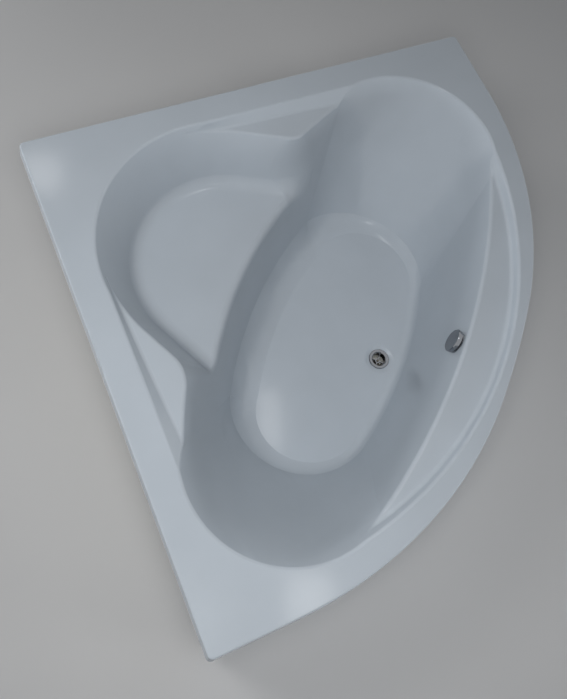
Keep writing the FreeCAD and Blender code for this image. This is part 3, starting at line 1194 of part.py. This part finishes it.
def panel_band(sketch, inset, thick):
    """Band along the curved front and both wings, between two insets of the rim's outline."""
    gap = "dim.panel_wall_gap"
    chains = []
    for depth in (inset, "(%s + %s)" % (inset, thick)):
        wing = ("((dim.wing - %s) * sqrt(0.5))" % depth,
                "(%s - (dim.wing + %s) * sqrt(0.5))" % (HALF_DIAGONAL, depth))
        end = ("((%s - %s) * sqrt(0.5))" % (gap, depth),
               "((dim.side - %s - %s) * sqrt(0.5))" % (depth, gap))
        middle = "(dim.front_radius - %s)" % depth
        centre = "(dim.front_bulge - dim.front_radius)"
        wx, wy, ex, ey = size(wing[0]), size(wing[1]), size(end[0]), size(end[1])
        rc, c = size(middle), size(centre)
        side = (rc ** 2 - (wx - c) ** 2 - wy ** 2) / (2 * rc - math.sqrt(2) * (wx - c + wy))
        sx, sy = wx - side * math.sqrt(0.5), wy - side * math.sqrt(0.5)
        turn = math.atan2(sy, sx - c)
        first = sketch.GeometryCount
        sketch.addGeometry([
            Part.LineSegment(Vector(ex, -ey, 0), Vector(wx, -wy, 0)),
            arc(Vector(sx, -sy, 0), side, -math.pi / 4, -turn),
            arc(Vector(c, 0, 0), rc, -turn, turn),
            arc(Vector(sx, sy, 0), side, turn, math.pi / 4),
            Part.LineSegment(Vector(wx, wy, 0), Vector(ex, ey, 0)),
        ], False)
        for step in range(4):
            sketch.addConstraint(Sketcher.Constraint("Tangent", first + step, 2, first + step + 1, 1))
        sketch.addConstraint(Sketcher.Constraint("PointOnObject", first + 2, 3, -1))
        bind(sketch, "Radius", first + 2, middle)
        bind(sketch, "DistanceX", -1, 1, first + 2, 3, centre)
        for line, point, (x, y) in ((first + 4, 1, wing), (first + 4, 2, end)):
            bind(sketch, "DistanceX", -1, 1, line, point, x)
            bind(sketch, "DistanceY", -1, 1, line, point, y)
        for point, (x, y) in ((2, wing), (1, end)):
            bind(sketch, "DistanceX", -1, 1, first, point, x)
            bind(sketch, "DistanceY", first, point, -1, 1, y)
        chains.append((first, Vector(ex, ey, 0)))
    (outer, far), (inner, near) = chains
    caps = sketch.GeometryCount
    sketch.addGeometry([
        Part.LineSegment(far, near),
        Part.LineSegment(Vector(far.x, -far.y, 0), Vector(near.x, -near.y, 0)),
    ], False)
    for cap, point, line in ((caps, 2, 4), (caps + 1, 1, 0)):
        sketch.addConstraint(Sketcher.Constraint("Coincident", cap, 1, outer + line, point))
        sketch.addConstraint(Sketcher.Constraint("Coincident", cap, 2, inner + line, point))


BRACKET_ANGLE = "(asin(dim.spine_offset / dim.front_radius) / 1 deg)"


def panel_fixings():
    """Where the panel's screws sit: point on the panel's outer face and the way out of it."""
    found = []
    centre = Vector(size("dim.front_bulge - dim.front_radius"), 0, 0)
    line = size("(dim.side / 2 - dim.panel_inset) * sqrt(2)")
    wing = size(WING_POST)
    angle = math.radians(size(BRACKET_ANGLE))
    for side in (-1, 1):
        out = Vector(math.cos(angle), side * math.sin(angle), 0)
        found.append((centre + out * size("dim.front_radius - dim.panel_inset"), out))
        out = Vector(math.sqrt(0.5), side * math.sqrt(0.5), 0)
        found.append((Vector(line - wing, side * wing, 0), out))
    height = size("dim.bracket_place + dim.bracket_thick / 2 + dim.bracket_tall / 4")
    return [(point + Vector(0, 0, height), out) for point, out in found]


def bracket(label, rear, strip, tab):
    """Z-shaped bracket: a tab on the post, a level strip, a tab behind the panel."""
    body = new_body(label)
    for corners, tall in ((strip, False), (rear, True), (tab, True)):
        offset = "(dim.bracket_thick - dim.bracket_tall) / 2" if tall else None
        sketch = body_sketch(body, "XY_Plane", offset)
        polygon(sketch, corners)
        pad(body, sketch, "dim.bracket_tall" if tall else "dim.bracket_thick")
    return body


def front_panel():
    """Thin apron behind the rim's skirt, with a lip at top and bottom, its brackets and screws."""
    body = new_body("panel_sheet")
    top = "(dim.rim_height - dim.panel_top)"
    bands = (("dim.panel_bottom", "dim.panel", "%s - dim.panel_bottom" % top),
             ("dim.panel_bottom", "dim.panel_lip", "dim.panel"),
             ("%s - dim.panel" % top, "dim.panel_lip", "dim.panel"))
    for height, thick, length in bands:
        sketch = body_sketch(body, "XY_Plane", height)
        panel_band(sketch, "dim.panel_inset", thick)
        pad(body, sketch, length)
    fixings = panel_fixings()
    reach = size("dim.panel + dim.bracket_thick")
    tools = [aimed("fixing_%d" % number, "dim.screw_bore", point + out * 2, out * -(reach + 4))
             for number, (point, out) in enumerate(fixings)]
    holes = fuse("panel_holes", *tools)
    panel = cut("front_panel", body, holes)
    panel.Label = "front_panel"
    keep(stand(panel, "0", "0", "0"))

    half = "(dim.bracket_width / 2)"
    thick = "dim.bracket_thick"
    centre = "(dim.front_bulge - dim.front_radius)"
    face = "(dim.front_radius - dim.panel_inset - dim.panel - dim.bracket_play)"
    face_line = "((dim.side / 2 - dim.panel_inset - dim.panel - dim.bracket_play) * sqrt(2))"
    post_front = "(dim.front_post_place + dim.tube / 2)"
    wing_front = "(dim.main_rail_place + dim.tube / 2)"
    spread = "(%s / dim.front_radius * 180 / pi)" % half
    solids = []
    for side, sign in SIDES:
        low, high = ["(dim.spine_offset %s %s)" % (way, half) for way in "-+"]
        rays = ["(%s %s %s)" % (BRACKET_ANGLE, way, spread) for way in "-+"]
        (near_low, near_high), (far_low, far_high) = [
            [("(%s + %s * cos(%s))" % (centre, radius, ray), "%s%s * sin(%s)" % (sign, radius, ray))
             for ray in rays] for radius in ("(%s - %s)" % (face, thick), face)]
        front = bracket(side + "_front_bracket",
                        rectangle(post_front, sign + low, "%s + %s" % (post_front, thick), sign + high),
                        [(post_front, sign + low), far_low, far_high, (post_front, sign + high)],
                        [near_low, far_low, far_high, near_high])
        low, high = ["(%s %s %s)" % (WING_POST, way, half) for way in "-+"]
        step = "(%s * sqrt(0.5))" % thick
        far_low, far_high = [("(%s - %s)" % (face_line, at), sign + at) for at in (low, high)]
        near_low, near_high = [("(%s - %s - %s)" % (face_line, at, step), "%s(%s - %s)" % (sign, at, step))
                               for at in (low, high)]
        wing = bracket(side + "_wing_bracket",
                       rectangle(wing_front, sign + low, "%s + %s" % (wing_front, thick), sign + high),
                       [(wing_front, sign + low), far_low, far_high, (wing_front, sign + high)],
                       [near_low, far_low, far_high, near_high])
        doc.recompute()
        for piece in (front, wing):
            solid = piece.Shape.copy()
            solid.translate(Vector(0, 0, size("dim.bracket_place")))
            solids.append(solid.cut(holes.Shape))
    brackets = group("panel_brackets", solids)
    brackets.Placement = spot(0, 0, 0)
    keep(brackets)

    master = screw("panel_screw_master", "dim.screw_radius", "dim.screw_head", "dim.screw_head_high",
                   "(dim.panel + dim.bracket_thick + 4)")
    keep(copies("panel_screws", master,
                [spot(point.x, point.y, point.z, Rotation(Vector(0, 0, 1), out * -1)) for point, out in fixings]))


# ---------------------------------------------------------------- wall brackets

def wall_brackets():
    """Folded strips that hook round the rim's skirt from the battens to the wall."""
    wall, under = "(dim.side / 2)", BATTEN_UNDER
    thick = "dim.hook_thick"
    foot = "(%s - dim.hook_leg)" % SKIRT_UNDER
    inner = "(%s - dim.hook_riser)" % wall
    start = "(%s - dim.hook_back)" % wall
    master = board("hook_master", [
        (start, "%s - %s" % (under, thick)), (start, under), ("%s + %s" % (inner, thick), under),
        ("%s + %s" % (inner, thick), SKIRT_UNDER), (wall, SKIRT_UNDER), (wall, foot),
        ("%s - %s" % (wall, thick), foot), ("%s - %s" % (wall, thick), "%s - %s" % (SKIRT_UNDER, thick)),
        (inner, "%s - %s" % (SKIRT_UNDER, thick)), (inner, "%s - %s" % (under, thick))],
        "dim.hook_width", role="YZ_Plane", both=True)
    hole = "(%s - dim.hook_hole_drop)" % SKIRT_UNDER
    drilled(master, "XZ_Plane", [("dim.hook_pitch / 2", hole, "dim.hook_hole"),
                                 ("-dim.hook_pitch / 2", hole, "dim.hook_hole")])
    drilled(master, "XY_Plane", [("0", "%s + dim.hook_riser" % start, "dim.plate_screw_bore")])
    along = size("dim.hook_place")
    quarter = Rotation(Vector(0, 0, 1), 90)
    keep(copies("wall_brackets", master, [FreeCAD.Placement(Vector(along, 0, 0), UPRIGHT),
                                          FreeCAD.Placement(Vector(0, -along, 0), quarter)]))


# ---------------------------------------------------------------- build and write

bath_shell()
boards()
battens()
frame()
frame_fasteners()
feet()
waste()
overflow()
trap()
front_panel()
wall_brackets()

doc.recompute()
for item in doc.Objects:
    if "Invalid" in item.State or "Error" in item.State:
        raise RuntimeError("%s failed: %s" % (item.Name, item.State))
os.makedirs("parts", exist_ok=True)
for item in nodes:
    if item.Shape.isNull() or not item.Shape.isValid():
        raise RuntimeError("bad shape in " + item.Label)
    item.Shape.exportStep("parts/%s.step" % item.Label)
    print(item.Label, len(item.Shape.Solids), round(item.Shape.Volume / 1000.0, 1))
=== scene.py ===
import json
import math

import bpy
from mathutils import Matrix, Quaternion, Vector


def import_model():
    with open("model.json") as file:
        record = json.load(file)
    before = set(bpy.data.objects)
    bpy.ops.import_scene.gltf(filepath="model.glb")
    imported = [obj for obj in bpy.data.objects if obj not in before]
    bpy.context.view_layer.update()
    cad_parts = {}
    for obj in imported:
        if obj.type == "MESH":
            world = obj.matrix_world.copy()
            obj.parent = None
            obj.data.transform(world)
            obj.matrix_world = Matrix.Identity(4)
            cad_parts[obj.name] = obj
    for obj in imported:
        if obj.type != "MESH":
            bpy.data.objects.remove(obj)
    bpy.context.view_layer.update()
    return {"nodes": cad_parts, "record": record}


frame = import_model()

# Studio view of the corner bathtub. The CAD pieces keep their places and meshes; this script gives
# them their materials and sets floor, light and camera. Lengths are in metres.

NODES = frame["nodes"]
IMAGE_HEIGHT = 699
FOCAL_PIXELS = 697.85
SENSOR = 36.0
CAMERA_PLACE = Vector((-0.78598, -0.60202, 2.36101))
CAMERA_AIM = Vector((0.26828, 0.26316, -0.92670))
CAMERA_RIGHT = Vector((0.90595, -0.39598, 0.14983))


# ---------------------------------------------------------------- materials

class Shader:
    """A Principled material and the nodes that vary it."""

    def __init__(self, name):
        self.material = bpy.data.materials.new(name)
        self.material.use_nodes = True
        self.tree = self.material.node_tree
        self.surface = self.tree.nodes["Principled BSDF"]
        self.place = self.node("ShaderNodeTexCoord").outputs["Object"]

    def node(self, kind, **values):
        made = self.tree.nodes.new(kind)
        for key, value in values.items():
            if hasattr(made, key):
                setattr(made, key, value)
            else:
                made.inputs[key.replace("_", " ")].default_value = value
        return made

    def link(self, output, socket):
        self.tree.links.new(output, socket)
        return self

    def set(self, **values):
        for key, value in values.items():
            self.surface.inputs[key.replace("_", " ")].default_value = value
        return self

    def noise(self, scale, detail=3.0, stretch=(1, 1, 1)):
        """Soft random field of a scale in cells per metre, stretched along the axes."""
        mapping = self.node("ShaderNodeMapping")
        mapping.inputs["Scale"].default_value = stretch
        self.link(self.place, mapping.inputs["Vector"])
        noise = self.node("ShaderNodeTexNoise", Scale=scale, Detail=detail)
        self.link(mapping.outputs["Vector"], noise.inputs["Vector"])
        return noise.outputs["Fac"]

    def ramp(self, field, stops):
        """Colours along a field; each stop is (position, colour)."""
        ramp = self.node("ShaderNodeValToRGB")
        elements = ramp.color_ramp.elements
        while len(elements) < len(stops):
            elements.new(0.5)
        for element, (position, colour) in zip(elements, stops):
            element.position = position
            element.color = (*colour, 1)
        self.link(field, ramp.inputs["Fac"])
        return ramp.outputs["Color"]

    def spread(self, field, low, high):
        """A field turned into values between low and high."""
        change = self.node("ShaderNodeMapRange")
        change.inputs["To Min"].default_value = low
        change.inputs["To Max"].default_value = high
        self.link(field, change.inputs["Value"])
        return change.outputs["Result"]

    def colour(self, output):
        return self.link(output, self.surface.inputs["Base Color"])

    def roughness(self, output):
        return self.link(output, self.surface.inputs["Roughness"])

    def bump(self, field, depth):
        """Relief of a depth in metres from a field."""
        bump = self.node("ShaderNodeBump", Strength=1.0, Distance=depth)
        self.link(field, bump.inputs["Height"])
        return self.link(bump.outputs["Normal"], self.surface.inputs["Normal"])


def shade(colour, factor):
    return tuple(channel * factor for channel in colour)


# A face of the moulding whose normal points lower than this shows its resin back.
BACK_SLOPE = -0.02


def acrylic():
    """Glossy acrylic in a blue-tinted grey, its white darkened as painted shade for dim light, backed
    by rough resin.
    """
    shader = Shader("acrylic")
    # Painted shade: the face colour is white acrylic darkened to stand in for dim light.
    painted_shade_bluish = (0.463, 0.512, 0.562)
    resin = (0.55, 0.55, 0.47)
    cloud = shader.noise(5.0)
    face = shader.ramp(cloud, [(0.3, shade(painted_shade_bluish, 0.97)), (0.7, shade(painted_shade_bluish, 1.02))])
    mat = shader.noise(160.0, 6.0, (1.0, 3.0, 1.0))
    back = shader.ramp(mat, [(0.35, shade(resin, 0.72)), (0.5, resin), (0.65, shade(resin, 1.2))])
    split = shader.node("ShaderNodeSeparateXYZ")
    shader.link(shader.node("ShaderNodeNewGeometry").outputs["True Normal"], split.inputs["Vector"])
    under = shader.node("ShaderNodeMath", operation="LESS_THAN")
    under.inputs[1].default_value = BACK_SLOPE
    shader.link(split.outputs["Z"], under.inputs[0])
    mix = shader.node("ShaderNodeMix", data_type="RGBA")
    shader.link(under.outputs["Value"], mix.inputs["Factor"])
    shader.link(face, mix.inputs["A"])
    shader.link(back, mix.inputs["B"])
    gloss = shader.node("ShaderNodeMix")
    shader.link(under.outputs["Value"], gloss.inputs["Factor"])
    shader.link(shader.spread(shader.noise(9.0), 0.10, 0.16), gloss.inputs["A"])
    gloss.inputs["B"].default_value = 0.6
    relief = shader.node("ShaderNodeMath", operation="MULTIPLY")
    shader.link(under.outputs["Value"], relief.inputs[0])
    shader.link(mat, relief.inputs[1])
    shader.set(IOR=1.49)
    shader.colour(mix.outputs["Result"])
    shader.roughness(gloss.outputs["Result"])
    shader.bump(relief.outputs["Value"], 0.0008)
    return shader.material


def plated(name, colour, rough):
    """Bare or plated metal with faint cloudy wear in its gloss."""
    shader = Shader(name)
    wear = shader.noise(120.0, 4.0)
    shader.colour(shader.ramp(wear, [(0.3, shade(colour, 0.93)), (0.7, colour)]))
    shader.roughness(shader.spread(wear, rough * 0.6, rough * 1.5))
    shader.set(Metallic=1.0)
    shader.bump(wear, 0.00003)
    return shader.material


def moulded(name, colour, rough):
    """Moulded plastic or rubber with a fine eroded skin."""
    shader = Shader(name)
    cloud = shader.noise(30.0)
    shader.colour(shader.ramp(cloud, [(0.3, shade(colour, 0.88)), (0.7, shade(colour, 1.06))]))
    skin = shader.noise(1400.0, 2.0)
    shader.roughness(shader.spread(skin, rough * 0.85, rough * 1.15))
    shader.set(IOR=1.5)
    shader.bump(skin, 0.00006)
    return shader.material


def timber(name, colour, along):
    """Planed wood with its grain along one direction of the room."""
    shader = Shader(name)
    grain = shader.noise(26.0, 8.0, along)
    light, dark = shade(colour, 1.08), shade(colour, 0.62)
    shader.colour(shader.ramp(grain, [(0.36, dark), (0.5, colour), (0.62, light)]))
    shader.roughness(shader.spread(grain, 0.55, 0.75))
    shader.bump(grain, 0.0003)
    return shader.material


# Chrome darkened below real chrome: a painted dark reflection of a dim room.
CHROME_WITH_PAINTED_REFLECTION = (0.31, 0.32, 0.34)
STEEL = (0.48, 0.50, 0.52)
ZINC = (0.58, 0.59, 0.57)
# Brass darkened almost to black as painted shade for the parts deep inside the waste fitting.
BRASS_WITH_PAINTED_SHADE = (0.20, 0.18, 0.14)
PINE = (0.62, 0.44, 0.23)
BIRCH = (0.55, 0.38, 0.20)

MATERIALS = {
    "acrylic": acrylic(),
    "plywood": timber("plywood", BIRCH, (1, 6, 30)),
    "batten_wood": timber("batten_wood", PINE, (1, 9, 9)),
    "frame_steel": plated("frame_steel", STEEL, 0.38),
    "zinc_fasteners": plated("zinc_fasteners", ZINC, 0.28),
    "foot_plastic": moulded("foot_plastic", (0.018, 0.018, 0.02), 0.42),
    "rubber": moulded("rubber", (0.012, 0.012, 0.012), 0.7),
    "chrome": plated("chrome", CHROME_WITH_PAINTED_REFLECTION, 0.045),
    "brass": plated("brass", BRASS_WITH_PAINTED_SHADE, 0.2),
    "white_plastic": moulded("white_plastic", (0.72, 0.72, 0.69), 0.35),
    "hose_plastic": moulded("hose_plastic", (0.17, 0.175, 0.18), 0.45),
    "cable_plastic": moulded("cable_plastic", (0.02, 0.02, 0.022), 0.4),
}


def dress():
    """Gives every CAD node the material of its slot in the record."""
    for part in frame["record"]["subparts"]:
        item = NODES[part["node"]]
        item.data.materials.clear()
        item.data.materials.append(MATERIALS[part["material_slot"]])


# ---------------------------------------------------------------- floor, light, camera

def floor():
    """Pale seamless floor that passes into the backdrop's colour far from the object."""
    reach = 12.0
    mesh = bpy.data.meshes.new("floor")
    corners = [(-reach, -reach, 0), (reach, -reach, 0), (reach, reach, 0), (-reach, reach, 0)]
    mesh.from_pydata(corners, [], [(0, 1, 2, 3)])
    item = bpy.data.objects.new("floor", mesh)
    bpy.context.collection.objects.link(item)
    shader = Shader("floor")
    grey = (0.62, 0.62, 0.62)
    shader.colour(shader.ramp(shader.noise(2.0), [(0.3, shade(grey, 0.985)), (0.7, grey)]))
    shader.set(Roughness=0.7)
    reached = shader.node("ShaderNodeVectorMath", operation="LENGTH")
    shader.link(shader.place, reached.inputs[0])
    fade = shader.node("ShaderNodeMapRange", interpolation_type="SMOOTHSTEP",
                       From_Min=FADE_START, From_Max=FADE_END)
    shader.link(reached.outputs["Value"], fade.inputs["Value"])
    share = shader.node("ShaderNodeMath", operation="MULTIPLY")
    shader.link(fade.outputs["Result"], share.inputs[0])
    shader.link(seen_directly(shader.tree), share.inputs[1])
    backdrop = shader.node("ShaderNodeEmission", Color=BACKDROP)
    mix = shader.node("ShaderNodeMixShader")
    shader.link(share.outputs["Value"], mix.inputs["Fac"])
    shader.link(shader.surface.outputs["BSDF"], mix.inputs[1])
    shader.link(backdrop.outputs["Emission"], mix.inputs[2])
    shader.link(mix.outputs["Shader"], shader.tree.nodes["Material Output"].inputs["Surface"])
    mesh.materials.append(shader.material)


def softbox(name, place, aim, size, power, spin=0.0, glossy=True):
    """Rectangular area lamp at a place, turned to a point; glossy says if it shows in reflections."""
    lamp = bpy.data.lights.new(name, "AREA")
    lamp.shape = "RECTANGLE"
    lamp.size, lamp.size_y = size
    lamp.energy = power
    item = bpy.data.objects.new(name, lamp)
    item.location = place
    turn = (Vector(aim) - Vector(place)).to_track_quat("-Z", "Y")
    item.rotation_euler = (turn @ Quaternion((0, 0, 1), spin)).to_euler()
    item.visible_glossy = glossy
    bpy.context.collection.objects.link(item)


# Each glow of the world: direction it comes from, and its strength there.
GLOWS = [
    (Vector((-1, 0, 0.5)).normalized(), 0.215),
    (Vector((1, 0, 0.5)).normalized(), 0.077),
    (Vector((0, 0, 1)), 0.03),
]
GLOW_EDGE = 0.2
LIGHT_LEVEL = 1.21
GLOW_SPIN = math.radians(-20.6)
GLOW_POWER = 11
GLOW_HEIGHT = 2.6
BACKDROP = (0.70, 0.71, 0.72, 1)
FADE_START, FADE_END = 2.2, 6.0
SKY = (0.90, 0.94, 1.0, 1)


def world():
    """Soft glows light the object; camera, mirrors and glass see a plain pale backdrop instead."""
    made = bpy.data.worlds.new("studio")
    made.use_nodes = True
    tree = made.node_tree
    nodes, links = tree.nodes, tree.links
    way = nodes.new("ShaderNodeTexCoord").outputs["Generated"]
    total = None
    for axis, strength in GLOWS:
        toward = nodes.new("ShaderNodeVectorMath")
        toward.operation = "DOT_PRODUCT"
        toward.inputs[1].default_value = axis
        links.new(way, toward.inputs[0])
        lobe = nodes.new("ShaderNodeMapRange")
        lobe.interpolation_type = "SMOOTHSTEP"
        lobe.inputs["From Min"].default_value = GLOW_EDGE
        lobe.inputs["To Max"].default_value = strength * LIGHT_LEVEL
        links.new(toward.outputs["Value"], lobe.inputs["Value"])
        total = added(tree, total, lobe.outputs["Result"])
    light = nodes["Background"]
    light.inputs["Color"].default_value = SKY
    links.new(total, light.inputs["Strength"])
    backdrop = nodes.new("ShaderNodeBackground")
    backdrop.inputs["Color"].default_value = BACKDROP
    mix = nodes.new("ShaderNodeMixShader")
    links.new(seen_directly(tree), mix.inputs["Fac"])
    links.new(light.outputs["Background"], mix.inputs[1])
    links.new(backdrop.outputs["Background"], mix.inputs[2])
    links.new(mix.outputs["Shader"], nodes["World Output"].inputs["Surface"])
    bpy.context.scene.world = made


def seen_directly(tree):
    """One for a ray from the camera, a mirror or glass, and nought for a ray that lights."""
    path = tree.nodes.new("ShaderNodeLightPath")
    seen = None
    for ray in ("Is Camera Ray", "Is Glossy Ray", "Is Transmission Ray"):
        seen = added(tree, seen, path.outputs[ray])
    return seen


def added(tree, total, output):
    """The sum of what is there so far and one more value."""
    if total is None:
        return output
    both = tree.nodes.new("ShaderNodeMath")
    tree.links.new(total, both.inputs[0])
    tree.links.new(output, both.inputs[1])
    return both.outputs["Value"]


MIDDLE = (0, 0, 0.3)


def lights():
    """Two fills above the front, two low ones for the sides, and three small glows in the gloss."""
    world()
    soft = (0.6, 0.6)
    softbox("front_fill", (-0.8, -0.7, 2.4), MIDDLE, soft, 17 * LIGHT_LEVEL, glossy=False)
    softbox("left_fill", (-1.3, 0.4, 2.2), MIDDLE, soft, 6.5 * LIGHT_LEVEL, glossy=False)
    softbox("right_side", (3, -3, 0.6), MIDDLE, (1.6, 1.0), 70, glossy=False)
    softbox("left_side", (-3, 3, 0.6), MIDDLE, (1.6, 1.0), 70, glossy=False)
    for name, x, y, size in (("rim_glow", -0.12, -0.85, (0.25, 0.25)),
                             ("corner_glow", -0.64, 2.03, (0.25, 0.25)),
                             ("window_glow", 0.24, 0.26, (0.16, 0.42))):
        softbox(name, (x, y, GLOW_HEIGHT), (x, y, 0), size, GLOW_POWER * size[0] * size[1], GLOW_SPIN)


def camera():
    lens = bpy.data.cameras.new("camera")
    lens.sensor_fit = "VERTICAL"
    lens.sensor_height = SENSOR
    lens.lens = FOCAL_PIXELS * SENSOR / IMAGE_HEIGHT
    item = bpy.data.objects.new("camera", lens)
    back = -CAMERA_AIM.normalized()
    right = (CAMERA_RIGHT - back * CAMERA_RIGHT.dot(back)).normalized()
    up = back.cross(right)
    turn = Matrix((right, up, back)).transposed()
    item.matrix_world = Matrix.Translation(CAMERA_PLACE) @ turn.to_4x4()
    bpy.context.collection.objects.link(item)
    bpy.context.scene.camera = item


dress()
floor()
lights()
camera()
bpy.context.scene.view_settings.view_transform = "Standard"
